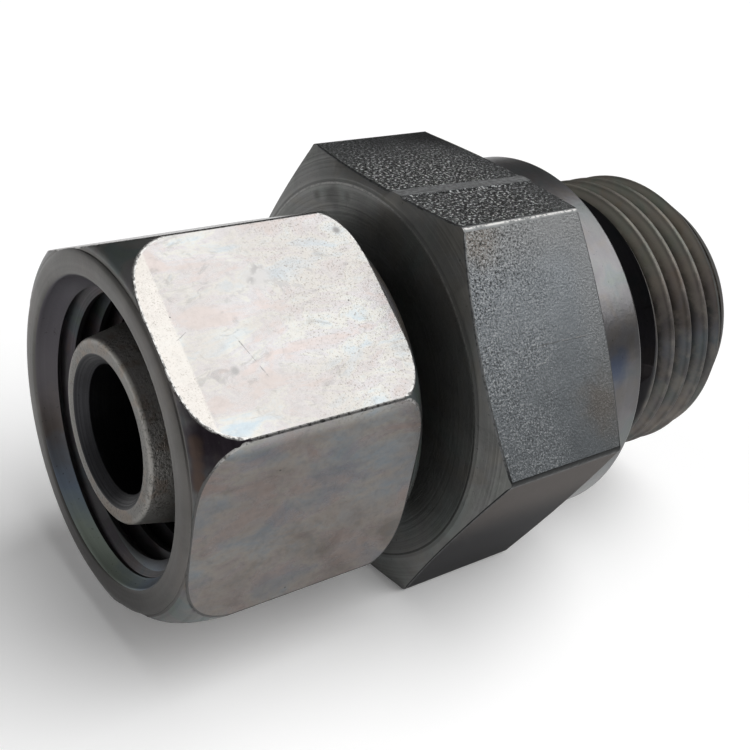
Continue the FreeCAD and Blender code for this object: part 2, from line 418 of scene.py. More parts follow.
def thread_cutter(name, section, pitch, low_x, high_x):
    """A right-handed helical solid that cuts a thread of the given section from low_x to high_x."""
    turns = math.ceil((high_x - low_x) / pitch)
    cutter = draw_outline(name, [point + Vector((low_x, 0, 0)) for point in section])
    bpy.ops.object.mode_set(mode="OBJECT")
    screw = cutter.modifiers.new("helix", "SCREW")
    screw.axis = "X"
    screw.angle = 2 * math.pi
    screw.screw_offset = pitch
    screw.iterations = turns
    screw.steps = THREAD_STEPS
    screw.render_steps = THREAD_STEPS
    screw.use_smooth_shade = False
    apply_modifier(cutter, screw)
    bpy.ops.object.mode_set(mode="EDIT")
    bpy.ops.mesh.select_mode(type="VERT")
    bpy.ops.mesh.select_all(action="DESELECT")
    bpy.ops.mesh.select_non_manifold()
    bpy.ops.mesh.fill_holes(sides=0)
    bpy.ops.mesh.select_all(action="SELECT")
    bpy.ops.mesh.normals_make_consistent(inside=False)
    bpy.ops.object.mode_set(mode="OBJECT")
    return cutter


def sort_faces(piece, slots, choose):
    """Gives every face the material slot that the chooser names for its middle and normal."""
    for face in piece.data.polygons:
        face.material_index = slots.index(choose(face.center, face.normal))


def on_flat(middle, normal, across_flats, turned_by):
    """Whether a face lies on one of the flats of a hexagon whose first corner is turned by the angle."""
    around = math.degrees(math.atan2(normal.z, normal.y) - turned_by)
    off_flat = around % 60.0 - 30.0
    return abs(normal.x) < 0.01 and abs(off_flat) < 0.5 and outward(middle, normal) > 0.49 * across_flats


def outward(middle, normal):
    """How far out from the axis a face lies, measured along its normal; below zero it faces inwards."""
    return middle.y * normal.y + middle.z * normal.z


def soften_edges(piece, width, slots, left_sharp):
    """Bevels the curved rims of a hexagon's flats into narrow strips with their own finish.

    Edges that the flats share with the slots left sharp stay as they are.
    """
    flats = slots.index("flats")
    sharp = {slots.index(name) for name in left_sharp}
    make_active(piece)
    bpy.ops.object.mode_set(mode="EDIT")
    bpy.ops.mesh.select_mode(type="EDGE")
    bpy.ops.mesh.select_all(action="DESELECT")
    mesh = bmesh.from_edit_mesh(piece.data)
    for edge in mesh.edges:
        beside = [face.material_index for face in edge.link_faces]
        borders = beside.count(flats) == 1 and not sharp.intersection(beside)
        edge.select = borders and edge.calc_face_angle(0.0) > math.radians(4.0)
    bmesh.update_edit_mesh(piece.data)
    bpy.ops.mesh.bevel(offset=width, segments=2, profile=0.6, clamp_overlap=False,
                       material=slots.index("rims"))
    bpy.ops.mesh.select_mode(type="VERT")
    bpy.ops.object.mode_set(mode="OBJECT")


def finish_mesh(piece, smooth_angle=28.0):
    """Merges doubles, makes the normals consistent and shades curves smooth and flats flat."""
    make_active(piece)
    bpy.ops.object.mode_set(mode="EDIT")
    bpy.ops.mesh.select_all(action="SELECT")
    bpy.ops.mesh.remove_doubles(threshold=MERGE_GAP / 2)
    bpy.ops.mesh.dissolve_degenerate(threshold=MERGE_GAP / 2)
    bpy.ops.mesh.normals_make_consistent(inside=False)
    bpy.ops.object.mode_set(mode="OBJECT")
    bpy.ops.object.shade_smooth_by_angle(angle=math.radians(smooth_angle))
    weighted = piece.modifiers.new("even shading", "WEIGHTED_NORMAL")
    weighted.keep_sharp = True
    weighted.weight = 100
    apply_modifier(piece, weighted)


def whitworth_groove(major_radius, pitch):
    """Section of a pipe thread's groove with rounded root and crests, centred on x = 0."""
    depth = 0.640327 * pitch
    rounding = 0.137329 * pitch
    flank = 27.5
    steps = 3
    root = major_radius - depth
    root_centre = root + rounding
    crest_centre = major_radius - rounding
    left = arc(-pitch / 2, crest_centre, rounding, 86.0, flank, steps)
    bottom = arc(0.0, root_centre, rounding, 180.0 + flank, 360.0 - flank, 2 * steps)
    right = arc(pitch / 2, crest_centre, rounding, 180.0 - flank, 94.0, steps)
    top_right = at(right[-1].x, major_radius + CLEARANCE)
    top_left = at(left[0].x, major_radius + CLEARANCE)
    return left + bottom + right + [top_right, top_left]


def metric_groove(minor_radius, major_radius, pitch):
    """Section of an internal metric thread's groove, opening inwards, centred on x = 0."""
    slope = math.tan(math.radians(30))
    root_half = pitch / 14
    mouth_half = root_half + (major_radius - minor_radius) * slope
    return [
        at(-mouth_half, minor_radius - CLEARANCE),
        at(-mouth_half, minor_radius),
        at(-root_half, major_radius),
        at(root_half, major_radius),
        at(mouth_half, minor_radius),
        at(mouth_half, minor_radius - CLEARANCE),
    ]


def stud_body_outline(sizes, corner):
    """Outline of the turned body in the half plane, from the stud's end to the nose and back."""
    stud_end = BODY_LOW.x
    tip_x = BODY_HIGH.x
    bore = sizes.bore / 2
    thread = sizes.thread / 2
    undercut = sizes.undercut / 2
    collar = sizes.collar / 2
    neck = sizes.neck / 2
    shoulder = sizes.shoulder / 2
    face = sizes.face / 2
    tip = sizes.tip / 2
    large = sizes.cone_large / 2
    slope = math.tan(sizes.cone / 2)
    face_x = sizes.collar_length + sizes.hexagon_length
    rear_run = (corner - collar) * math.tan(sizes.rear_angle)
    front_run = (corner - face) * math.tan(sizes.front_angle)
    large_x = tip_x - (large - tip) / slope
    shoulder_x = sizes.shoulder_start + shoulder - neck
    ring_x = (RING_LOW.x + RING_HIGH.x) / 2
    groove_low = ring_x - sizes.groove_width / 2
    groove_high = ring_x + sizes.groove_width / 2
    soft = 0.12 * MM
    ring = 0.4 * FINE
    points = [
        at(stud_end + sizes.bore_mouth, bore),
        at(stud_end, bore + sizes.bore_mouth),
        at(stud_end, thread - sizes.stud_end - FINE),
        at(stud_end + FINE, thread - sizes.stud_end),
        at(stud_end + sizes.stud_end / math.tan(sizes.stud_end_angle), thread),
        at(-sizes.undercut_length, thread),
        at(-sizes.undercut_length + sizes.run_out, undercut + soft),
        at(-sizes.undercut_length + sizes.run_out + soft, undercut),
        at(sizes.dish - soft, undercut),
        at(sizes.dish, undercut + soft),
        at(0.0, collar - sizes.collar_edge - sizes.land),
    ]
    points += arc(sizes.collar_edge, collar - sizes.collar_edge, sizes.collar_edge, 180.0, 90.0, 4)
    points += [
        at(sizes.collar_length, collar),
        at(sizes.collar_length + rear_run, corner),
        at(face_x - front_run, corner),
        at(face_x - ring, face + ring / math.tan(sizes.front_angle)),
        at(face_x, face - FINE),
    ]
    fillet = sizes.neck_fillet
    points += arc(face_x + fillet, neck + fillet, fillet, 180.0, 270.0, 5)
    points += [
        at(sizes.shoulder_start, neck),
        at(shoulder_x - soft, shoulder - soft),
        at(shoulder_x + soft, shoulder),
        at(large_x - (shoulder - large) - soft, shoulder),
        at(large_x - (shoulder - large) + soft, shoulder - soft),
        at(large_x, large),
        at(groove_low - FINE, tip + (tip_x - groove_low + FINE) * slope),
        at(groove_low, tip + (tip_x - groove_low) * slope - FINE),
        at(groove_low, sizes.groove_floor),
        at(groove_high, sizes.groove_floor),
        at(groove_high, tip + (tip_x - groove_high) * slope - FINE),
        at(groove_high + FINE, tip + (tip_x - groove_high - FINE) * slope),
    ]
    nose_edge = sizes.nose_edge
    points += arc(tip_x - nose_edge, tip - nose_edge + nose_edge * slope, nose_edge, 78.0, 0.0, 4)
    points += [
        at(tip_x, sizes.nose_mouth / 2 + FINE),
        at(tip_x - FINE, sizes.nose_mouth / 2 - FINE),
        at(tip_x - sizes.nose_mouth_depth, bore),
    ]
    return points


def node(tree, kind, **settings):
    """A node with its settings."""
    made = tree.nodes.new(kind)
    for name, value in settings.items():
        setattr(made, name, value)
    return made


def join(tree, source, socket):
    """Links an output to an input, or writes a plain value there."""
    if isinstance(source, bpy.types.NodeSocket):
        tree.links.new(source, socket)
    else:
        socket.default_value = source


def place(tree):
    """Places on the piece, in metres."""
    return node(tree, "ShaderNodeTexCoord").outputs["Object"]


def calculate(tree, operation, first, second=0.0):
    """One step of arithmetic on two numbers."""
    step = node(tree, "ShaderNodeMath", operation=operation)
    join(tree, first, step.inputs[0])
    join(tree, second, step.inputs[1])
    return step.outputs[0]


def product(tree, *values):
    """Several numbers multiplied together."""
    total = values[0]
    for value in values[1:]:
        total = calculate(tree, "MULTIPLY", total, value)
    return total


def magnitude(tree, vector):
    """The length of a vector."""
    reach = node(tree, "ShaderNodeVectorMath", operation="LENGTH")
    join(tree, vector, reach.inputs[0])
    return reach.outputs["Value"]


def between(tree, value, low, high, first=0.0, last=1.0):
    """A number that goes smoothly from first to last as the value goes from low to high."""
    ranged = node(tree, "ShaderNodeMapRange", interpolation_type="SMOOTHSTEP")
    join(tree, value, ranged.inputs["Value"])
    for name, number in (("From Min", low), ("From Max", high), ("To Min", first), ("To Max", last)):
        ranged.inputs[name].default_value = number
    return ranged.outputs["Result"]


def shifted(tree, shift, stretch=(1, 1, 1)):
    """Places on the piece, moved and stretched so that patterns don't repeat each other."""
    mapping = node(tree, "ShaderNodeMapping")
    mapping.inputs["Scale"].default_value = stretch
    mapping.inputs["Location"].default_value = (shift, shift, shift)
    join(tree, place(tree), mapping.inputs["Vector"])
    return mapping.outputs["Vector"]


def cloud(tree, grain_mm, detail=4.0, rough=0.55, twist=0.0, stretch=(1, 1, 1), shift=0.0):
    """Soft noise with features about as large as the grain."""
    noise = node(tree, "ShaderNodeTexNoise")
    noise.inputs["Scale"].default_value = 1.0 / (grain_mm * MM)
    noise.inputs["Detail"].default_value = detail
    noise.inputs["Roughness"].default_value = rough
    noise.inputs["Distortion"].default_value = twist
    join(tree, shifted(tree, shift, stretch), noise.inputs["Vector"])
    return noise.outputs["Fac"]


def dimples(tree, grain_mm, shift=0.0):
    """Distance from scattered points, zero at each point."""
    cells = node(tree, "ShaderNodeTexVoronoi", feature="SMOOTH_F1")
    cells.inputs["Scale"].default_value = 1.0 / (grain_mm * MM)
    cells.inputs["Smoothness"].default_value = 0.6
    cells.inputs["Randomness"].default_value = 1.0
    join(tree, shifted(tree, shift), cells.inputs["Vector"])
    return cells.outputs["Distance"]


def coordinate(tree, axis):
    """A place's coordinate along X, Y or Z, in metres; Z is its height above the axis."""
    split = node(tree, "ShaderNodeSeparateXYZ")
    join(tree, place(tree), split.inputs[0])
    return split.outputs[axis]


def from_axis(tree):
    """The distance of a place from the coupling's axis, in metres."""
    flat = node(tree, "ShaderNodeCombineXYZ")
    join(tree, coordinate(tree, "Y"), flat.inputs["Y"])
    join(tree, coordinate(tree, "Z"), flat.inputs["Z"])
    return magnitude(tree, flat.outputs[0])


def tool_lines(tree, spacing_mm):
    """Uneven rings round the axis, left by a turning tool."""
    lines = node(tree, "ShaderNodeTexNoise", noise_dimensions="1D")
    lines.inputs["Scale"].default_value = 1.0 / (spacing_mm * MM)
    lines.inputs["Detail"].default_value = 3.0
    lines.inputs["Roughness"].default_value = 0.7
    join(tree, calculate(tree, "ADD", from_axis(tree), coordinate(tree, "X")), lines.inputs["W"])
    return lines.outputs["Fac"]


def blended(tree, amount, first, second, way="MIX"):
    """One colour over another."""
    mix = node(tree, "ShaderNodeMix", data_type="RGBA", blend_type=way)
    join(tree, amount, mix.inputs[0])
    for source, socket in ((first, mix.inputs[6]), (second, mix.inputs[7])):
        if not isinstance(source, bpy.types.NodeSocket) and len(source) == 3:
            source = (*source, 1.0)
        join(tree, source, socket)
    return mix.outputs[2]


def glazed(tree, tone, tint):
    """A colour seen through a tint."""
    return blended(tree, 1.0, tone, tint, "MULTIPLY")


def tints(tree, value, stops):
    """Colours along a number from 0 to 1."""
    ramp = node(tree, "ShaderNodeValToRGB")
    colours = ramp.color_ramp.elements
    while len(colours) < len(stops):
        colours.new(0.5)
    for element, (position, tint) in zip(colours, stops):
        element.position = position
        element.color = (*tint, 1.0)
    join(tree, value, ramp.inputs["Fac"])
    return ramp.outputs["Color"]


def relief(tree, height, depth_mm, under=None):
    """A bump whose full height is the depth."""
    bump = node(tree, "ShaderNodeBump")
    bump.inputs["Strength"].default_value = 1.0
    bump.inputs["Distance"].default_value = depth_mm * MM
    join(tree, height, bump.inputs["Height"])
    if under:
        join(tree, under, bump.inputs["Normal"])
    return bump.outputs["Normal"]


def grey(level):
    """A neutral colour."""
    return (level, level, level)


def times(base, factor):
    """A colour made lighter or darker."""
    return tuple(min(1.0, part * factor) for part in base)


def tinted(base, red, green, blue):
    """A colour whose red, green and blue are made stronger or weaker."""
    return (base[0] * red, base[1] * green, base[2] * blue)


def steel(name, dull=0.0, edge=1.0):
    """A metal to be coloured by its makers below.

    A dull one has a thin grey skin. The edge says how much of the light that grazes it comes back.
    """
    material = bpy.data.materials.new(name)
    material.use_nodes = True
    shader = material.node_tree.nodes["Principled BSDF"]
    shader.inputs["Metallic"].default_value = 1.0 - dull
    shader.inputs["Specular Tint"].default_value = (*grey(edge), 1.0)
    return material, material.node_tree


def coated(material, tone, roughness, bumps):
    """The material with its colour, roughness and relief joined to its shader."""
    tree = material.node_tree
    shader = tree.nodes["Principled BSDF"]
    join(tree, tone, shader.inputs["Base Color"])
    join(tree, roughness, shader.inputs["Roughness"])
    join(tree, bumps, shader.inputs["Normal"])
    return material


def patina(tree, size_mm, shift=0.0, strength=1.0):
    """Tints that plating leaves in a hollow: lilac, brown, blue and green."""
    tint = tints(tree, cloud(tree, size_mm, 3.0, 0.55, 0.5, shift=shift), [
        (0.32, (0.74, 1.00, 0.86)),
        (0.40, (0.70, 0.90, 1.00)),
        (0.48, (1.00, 1.00, 1.00)),
        (0.55, (0.94, 0.86, 1.00)),
        (0.64, (1.00, 0.80, 0.70)),
    ])
    return blended(tree, strength, grey(1.0), tint)


def stain_at(tree, centre, reach):
    """One at a place on the piece, falling to nothing at the reach."""
    gap = node(tree, "ShaderNodeVectorMath", operation="DISTANCE")
    join(tree, place(tree), gap.inputs[0])
    gap.inputs[1].default_value = centre
    wavy = product(tree, cloud(tree, 1.5, 3.0), 0.9 * reach)
    return between(tree, calculate(tree, "ADD", gap.outputs["Value"], wavy), 1.25 * reach, 0.6 * reach)


def scratch_at(tree, start, end, width):
    """One on a thin broken line from start to end, nothing beside it."""
    half = (end - start).length / 2
    shift = node(tree, "ShaderNodeVectorMath", operation="SUBTRACT")
    join(tree, place(tree), shift.inputs[0])
    shift.inputs[1].default_value = (start + end) / 2
    across = node(tree, "ShaderNodeVectorMath", operation="CROSS_PRODUCT")
    join(tree, shift.outputs["Vector"], across.inputs[0])
    across.inputs[1].default_value = (end - start).normalized()
    wander = product(tree, cloud(tree, 0.9, 3.0), 2.0 * width)
    aside = calculate(tree, "ADD", magnitude(tree, across.outputs["Vector"]), wander)
    line = between(tree, aside, 1.9 * width, 1.0 * width)
    ends = between(tree, magnitude(tree, shift.outputs["Vector"]), half, 0.85 * half)
    return product(tree, line, ends, between(tree, cloud(tree, 0.3, 3.0), 0.38, 0.55))


def forged_flats(base):
    """Blasted, plated flats: coarse on top with painted glints there, finer and bluish at the sides, painted
    lighter higher up, with the top flat painted darker, and painted brown and then black shade below.
    """
    material, tree = steel("Forged flats", 0.10, 0.5)
    along = coordinate(tree, "X")
    aside = coordinate(tree, "Y")
    height = coordinate(tree, "Z")
    top = between(tree, height, BODY_HIGH.z - 0.3 * MM, BODY_HIGH.z - 0.2 * MM)
    above = between(tree, height, -0.5 * MM, 0.5 * MM, 0.25, 1.0)
    towards_nut = between(tree, along, 6.0 * MM, 12.0 * MM, 0.30, 1.0)
    patches = between(tree, cloud(tree, 3.5, 2.0, 0.5, shift=0.007), 0.36, 0.58, 0.55, 1.0)
    upper = between(tree, height, 2.0 * MM, 10.0 * MM, 0.6, 1.0)
    top_grain = product(tree, top, between(tree, aside, -7.0 * MM, -1.5 * MM, 0.15, 1.0),
                        between(tree, along, 3.5 * MM, 7.5 * MM, 0.35, 1.0))
    side_grain = product(tree, towards_nut, patches, upper)
    coarse = product(tree, calculate(tree, "MAXIMUM", side_grain, top_grain), above)
    skin = cloud(tree, 0.13, 3.0, 0.65)
    sand = cloud(tree, 0.19, 3.0, 0.65, shift=0.013)
    blue = product(tree, between(tree, height, 12.8 * MM, 10.0 * MM),
                   between(tree, along, 4.2 * MM, 6.5 * MM, 0.3, 1.0))
    tone = blended(tree, blue, base, tinted(base, 0.95, 1.0, 1.05))
    for centre, reach, tint in BODY_STAINS:
        tone = blended(tree, stain_at(tree, centre, reach), tone, tint)
    tone = glazed(tree, tone, blended(tree, cloud(tree, 1.6, 4.0), grey(0.82), grey(1.16)))
    # Painted light: the flats grow lighter with height.
    painted_light_by_height = between(tree, height, 1.0 * MM, 11.5 * MM)
    tone = glazed(tree, tone, blended(tree, painted_light_by_height, grey(0.74), grey(1.22)))
    # Painted shade: the top flat is darker than the other flats.
    tone = blended(tree, top, tone, times(base, 0.55))
    # Painted shade: the flats below the axis turn brown, and black further down.
    tone = blended(tree, between(tree, height, 0.3 * MM, -0.5 * MM, 0.0, 0.95), tone, BROWN_PAINTED_SHADE)
    tone = blended(tree, between(tree, height, -2.5 * MM, -8.0 * MM, 0.0, 0.95), tone, BLACK_PAINTED_SHADE)
    pit = product(tree, between(tree, skin, 0.48, 0.40, 0.0, 0.95), coarse)
    tone = blended(tree, pit, tone, times(base, 0.22))
    speck = product(tree, between(tree, skin, 0.54, 0.62, 0.0, 0.9), coarse)
    tone = blended(tree, speck, tone, times(base, 2.1))
    for start, end, factor in BODY_SCRATCHES:
        tone = blended(tree, scratch_at(tree, start, end, 0.05 * MM), tone, times(base, factor))
    # Painted glints: grain tips on the top flat made six times lighter.
    painted_glint = product(tree, between(tree, sand, 0.54, 0.61), top_grain)
    tone = blended(tree, painted_glint, tone, times(base, 6.0))
    skin_bumps = relief(tree, product(tree, skin, calculate(tree, "ADD", coarse, 0.20)), 0.085)
    sand_bumps = product(tree, between(tree, sand, 0.38, 0.64), top_grain)
    return coated(material, tone, between(tree, top, 0.0, 1.0, 0.40, 0.28),
                  relief(tree, sand_bumps, 0.11, skin_bumps))


def turned_steel(name, base, spacing_mm, depth_mm, rough=0.34, hue=0.3, hue_size=4.0, stains_and_shade=(),
                 contrast=0.28, dull=0.0, polish=0.09, edge=1.0, dirt_and_painted_shade=0.0):
    """Turned faces: uneven tool lines, tinted patches, stains and painted shade where given, a little grain,
    and, where asked, painted shade that darkens them low down.
    """
    material, tree = steel(name, dull, edge)
    lines = tool_lines(tree, spacing_mm)
    grain = cloud(tree, 0.25, 3.0)
    tone = blended(tree, lines, times(base, 1 - contrast), times(base, 1 + contrast))
    tone = glazed(tree, tone, patina(tree, hue_size, 0.0, hue))
    patches = between(tree, cloud(tree, 3.0, 4.0, 0.6, 0.4, shift=0.02), 0.40, 0.62)
    tone = blended(tree, product(tree, patches, 0.35), tone, times(base, 0.55))
    # Painted shade: darker low down, by the given amount.
    if dirt_and_painted_shade:
        painted_shade_low = between(tree, coordinate(tree, "Z"), -3 * MM, -10 * MM, 0.0, dirt_and_painted_shade)
        tone = blended(tree, painted_shade_low, tone, times(base, 0.3))
    for centre, reach, tint in stains_and_shade:
        tone = blended(tree, stain_at(tree, centre, reach), tone, tint)
    spots = product(tree, between(tree, grain, 0.33, 0.25), 0.6)
    tone = blended(tree, spots, tone, times(base, 0.3))
    return coated(material, tone, between(tree, lines, 0.2, 0.8, rough + polish, rough - polish),
                  relief(tree, grain, 0.008, relief(tree, lines, depth_mm)))


def thread_steel(base, dark, root, crest, front_x):
    """The stud's thread: crests painted lighter and roots darker (painted highlight and shade), tinted and
    lighter patches, bands of painted light and shade by height with a bluish painted reflection, and painted
    shade beside the undercut.
    """
    material, tree = steel("Stud thread", 0.40, 0.5)
    radius = from_axis(tree)
    along = coordinate(tree, "X")
    # Painted highlight and shade: crests lighter, roots darker, a little darker right on top of the crests.
    tone = blended(tree, between(tree, radius, root, crest), times(base, 0.30), times(base, 1.5))
    tone = blended(tree, between(tree, radius, crest, crest + 0.25 * MM), tone, times(base, 0.9))
    tone = glazed(tree, tone, patina(tree, 2.4, 0.006, 0.35))
    # Painted light and shade by height: darkest about 1 to 5 mm above the axis, with a bluish painted
    # reflection near 3 mm, lighter and warmer higher up, lighter below the axis.
    wavy = product(tree, cloud(tree, 3.0, 1.0), 1.6 * MM)
    height = product(tree, calculate(tree, "ADD", wavy, coordinate(tree, "Z")), 1 / TINT_SPAN)
    cast = tints(tree, calculate(tree, "ADD", height, 0.46), [
        (0.20, (0.74, 0.73, 0.72)),
        (0.52, (0.52, 0.53, 0.56)),
        (0.62, (0.58, 0.63, 0.71)),
        (0.69, (0.46, 0.45, 0.46)),
        (0.84, (0.86, 0.79, 0.74)),
        (0.98, (1.00, 1.00, 0.91)),
    ])
    tone = glazed(tree, tone, cast)
    worn = between(tree, cloud(tree, 1.6, 4.0, 0.6, shift=0.019), 0.42, 0.68, 0.0, 0.5)
    tone = blended(tree, worn, tone, tinted(base, 1.40, 1.30, 1.20))
    # Painted shade: the thread takes the undercut's dark colour where it meets the groove.
    tone = blended(tree, between(tree, along, front_x - 0.25 * MM, front_x + 0.1 * MM), tone, dark)
    return coated(material, tone, 0.55, relief(tree, cloud(tree, 0.25, 4.0, 0.7), 0.02))


def mouth_steel(base, mouth_x, deep_x):
    """The nut's mouth: plating tints from lilac through brown and blue to green lower down, painted much
    lighter towards the bottom (painted light) and darker deeper in (painted shade).
    """
    material, tree = steel("Nut mouth", 0.30)
    lines = tool_lines(tree, 0.4)
    grain = cloud(tree, 0.25, 3.0)
    # Painted light: the mouth grows much lighter towards its bottom, through the plating's tints.
    wavy = product(tree, cloud(tree, 1.8, 4.0, 0.6), 3.0 * MM)
    height = product(tree, calculate(tree, "ADD", coordinate(tree, "Z"), wavy), 1 / TINT_SPAN)
    tone = tints(tree, calculate(tree, "ADD", height, 0.425), [
        (0.04, (0.33, 0.39, 0.33)),
        (0.14, (0.20, 0.26, 0.34)),
        (0.28, (0.150, 0.125, 0.112)),
        (0.42, (0.080, 0.073, 0.080)),
        (0.80, (0.078, 0.072, 0.088)),
    ])
    tone = blended(tree, 0.25, tone, base)
    # Painted shade: darker deeper in.
    tone = blended(tree, between(tree, coordinate(tree, "X"), mouth_x, deep_x), tone, times(base, 0.35))
    tone = glazed(tree, tone, blended(tree, lines, grey(0.85), grey(1.1)))
    spots = product(tree, between(tree, grain, 0.34, 0.27), 0.6)
    tone = blended(tree, spots, tone, times(base, 0.3))
    return coated(material, tone, 0.40, relief(tree, grain, 0.008, relief(tree, lines, 0.004)))


def rough_nose(base):
    """The cone nose: faint tool lines under a sandy skin, dirtier in the pits, painted lighter near its tip
    (painted light).
    """
    material, tree = steel("Nose steel", 0.25)
    lines = tool_lines(tree, 0.30)
    sand = cloud(tree, 0.17, 3.0, 0.6)
    patches = between(tree, cloud(tree, 3.5, 3.0), 0.40, 0.62, 0.25, 1.0)
    tone = blended(tree, lines, times(base, 0.88), times(base, 1.12))
    # Painted light: the nose lighter near its tip.
    painted_light_near_tip = product(tree,
                     between(tree, coordinate(tree, "X"), BODY_HIGH.x - 2.8 * MM, BODY_HIGH.x - 0.9 * MM),
                     between(tree, from_axis(tree), 5.2 * MM, 5.6 * MM))
    tone = blended(tree, painted_light_near_tip, tone, times(base, 1.7))
    brown = between(tree, cloud(tree, 1.4, 4.0, 0.65, shift=0.023), 0.50, 0.62, 0.0, 0.6)
    tone = blended(tree, brown, tone, tinted(base, 1.25, 1.02, 0.86))
    pit = product(tree, between(tree, sand, 0.49, 0.36, 0.0, 0.7), patches)
    tone = blended(tree, pit, tone, times(base, 0.40))
    return coated(material, tone, 0.44,
                  relief(tree, product(tree, sand, patches), 0.05, relief(tree, lines, 0.012)))


def nut_flats(base, front_x):
    """Smooth plated flats: rainbow mottles, pits and specks, a paler band in front, and blotchy brown painted
    shade on the lower flats, where dark spots also gather.
    """
    material, tree = steel("Nut flats")
    along = coordinate(tree, "X")
    upper = between(tree, coordinate(tree, "Z"), 4.3 * MM, 5.2 * MM)
    mottle = cloud(tree, 1.7, 6.0, 0.68, 0.5, (0.42, 1.0, 1.0))
    tone = glazed(tree, base, tints(tree, mottle, [
        (0.33, (0.80, 0.92, 1.0)),
        (0.42, (0.92, 0.98, 1.0)),
        (0.48, (1.0, 1.0, 0.95)),
        (0.53, (0.93, 0.93, 0.96)),
        (0.62, (1.0, 0.91, 0.89)),
    ]))
    cast = between(tree, cloud(tree, 4.0, 3.0, 0.6, 0.6, (0.5, 1.0, 1.0), 0.031), 0.40, 0.60, 0.0, 0.40)
    tone = blended(tree, cast, tone, tinted(base, 0.80, 0.752, 0.72))
    # Painted shade: the lower flats are darkened with blotchy brownish grey.
    blotchy_painted_shade = tints(tree, cloud(tree, 3.6, 5.0, 0.62, 0.35, (0.7, 1.0, 1.0), 0.017), [
        (0.34, (0.43, 0.47, 0.53)),
        (0.44, (0.55, 0.56, 0.59)),
        (0.52, (0.65, 0.61, 0.59)),
        (0.60, (0.58, 0.53, 0.51)),
        (0.70, (0.43, 0.39, 0.37)),
    ])
    tone = glazed(tree, tone, blended(tree, upper, blotchy_painted_shade, grey(1.0)))
    smear = between(tree, cloud(tree, 1.1, 5.0, 0.65, 1.5, (0.6, 1.0, 1.0)), 0.56, 0.68, 0.0, 0.38)
    tone = blended(tree, smear, tone, times(base, 0.50))
    band = product(tree, between(tree, along, front_x - 1.75 * MM, front_x - 1.60 * MM), upper)
    tone = blended(tree, product(tree, band, 0.85), tone, tinted(base, 1.10, 1.0725, 1.023))
    fine = cloud(tree, 0.11, 4.0, 0.7)
    towards_body = between(tree, along, front_x - 6.0 * MM, front_x - 10.5 * MM, 0.10, 0.75)
    crowd = calculate(tree, "MAXIMUM", towards_body, product(tree, band, 0.45))
    crowd = product(tree, crowd, calculate(tree, "ADD", product(tree, upper, 0.7), 0.3))
    pit = product(tree, between(tree, fine, 0.45, 0.36), crowd)
    tone = blended(tree, pit, tone, tinted(base, 0.40, 0.36, 0.32))
    haze = blended(tree, cloud(tree, 0.35, 4.0, 0.7, shift=0.041), grey(0.93), grey(1.06))
    tone = glazed(tree, tone, haze)
    # Dark spots, more of them on the lower flats, where they add painted shade.
    dirt_and_painted_shade = product(tree, between(tree, cloud(tree, 0.40, 5.0, 0.75, shift=0.053), 0.46, 0.66),
                   between(tree, upper, 1.0, 0.0, 0.12, 0.32))
    tone = blended(tree, dirt_and_painted_shade, tone, times(base, 0.33))
    speck = between(tree, dimples(tree, 2.2, 0.011), 0.035, 0.014)
    tone = blended(tree, speck, tone, times(base, 0.15))
    for centre, reach, factor in NUT_MARKS:
        tone = blended(tree, stain_at(tree, centre, reach), tone, times(base, factor))
    for start, end, width, factor in NUT_SCRATCHES:
        tone = blended(tree, scratch_at(tree, start, end, width), tone, times(base, factor))
    waves = relief(tree, cloud(tree, 3.0, 2.0), 0.02)
    return coated(material, tone, between(tree, mottle, 0.3, 0.7, 0.20, 0.30),
                  relief(tree, product(tree, fine, crowd), 0.02, waves))


def worn_edge_with_painted_light(name, base, dark, low, high, proud=None, dull=0.0, dirt_and_painted_shade=0.7):
    """Bare metal along an edge, nicked here and there and kept to its upper part, where it also serves as a
    painted highlight; below a height the edge is painted dark (painted shade).

    With a proud radius only the line that stands furthest out is bare.
    """
    material, tree = steel(name, dull)
    nicks = cloud(tree, 0.30, 5.0, 0.7)
    # Bare metal shows only above a height, as a painted highlight on the upper edges.
    raised = between(tree, coordinate(tree, "Z"), low, high)
    bare = product(tree, between(tree, nicks, 0.40, 0.52), raised)
    if proud:
        bare = product(tree, bare, between(tree, from_axis(tree), proud - 0.022 * MM, proud - 0.006 * MM))
    # Painted shade: the edge darkens below that height.
    edge_colour_with_shade = blended(tree, raised, times(dark, 1 - dirt_and_painted_shade), dark)
    return coated(material, blended(tree, bare, edge_colour_with_shade, base), between(tree, nicks, 0.4, 0.6, 0.45, 0.30),
                  relief(tree, cloud(tree, 0.3, 3.0), 0.02))


def seam_steel(base):
    """The ground-off forging seam: smoother than the flats, with scratches along it."""
    material, tree = steel("Forging seam", 0.40)
    scratches = cloud(tree, 0.12, 3.0, 0.6, stretch=(0.05, 1, 1))
    tone = blended(tree, scratches, times(base, 0.45), times(base, 1.5))
    worn = between(tree, cloud(tree, 0.3, 4.0, 0.7), 0.42, 0.58, 0.0, 0.8)
    tone = blended(tree, worn, tone, times(base, 0.5))
    return coated(material, tone, 0.55, relief(tree, scratches, 0.03))


def black_rubber(base):
    """Matt black rubber with a fine skin, dusty here and there."""
    material, tree = steel("Black rubber", dull=1.0)
    dust = between(tree, cloud(tree, 0.5, 4.0), 0.5, 0.75, 0.0, 0.5)
    tone = blended(tree, dust, base, times(base, 3.0))
    return coated(material, tone, 0.55, relief(tree, cloud(tree, 0.1, 2.0), 0.006))


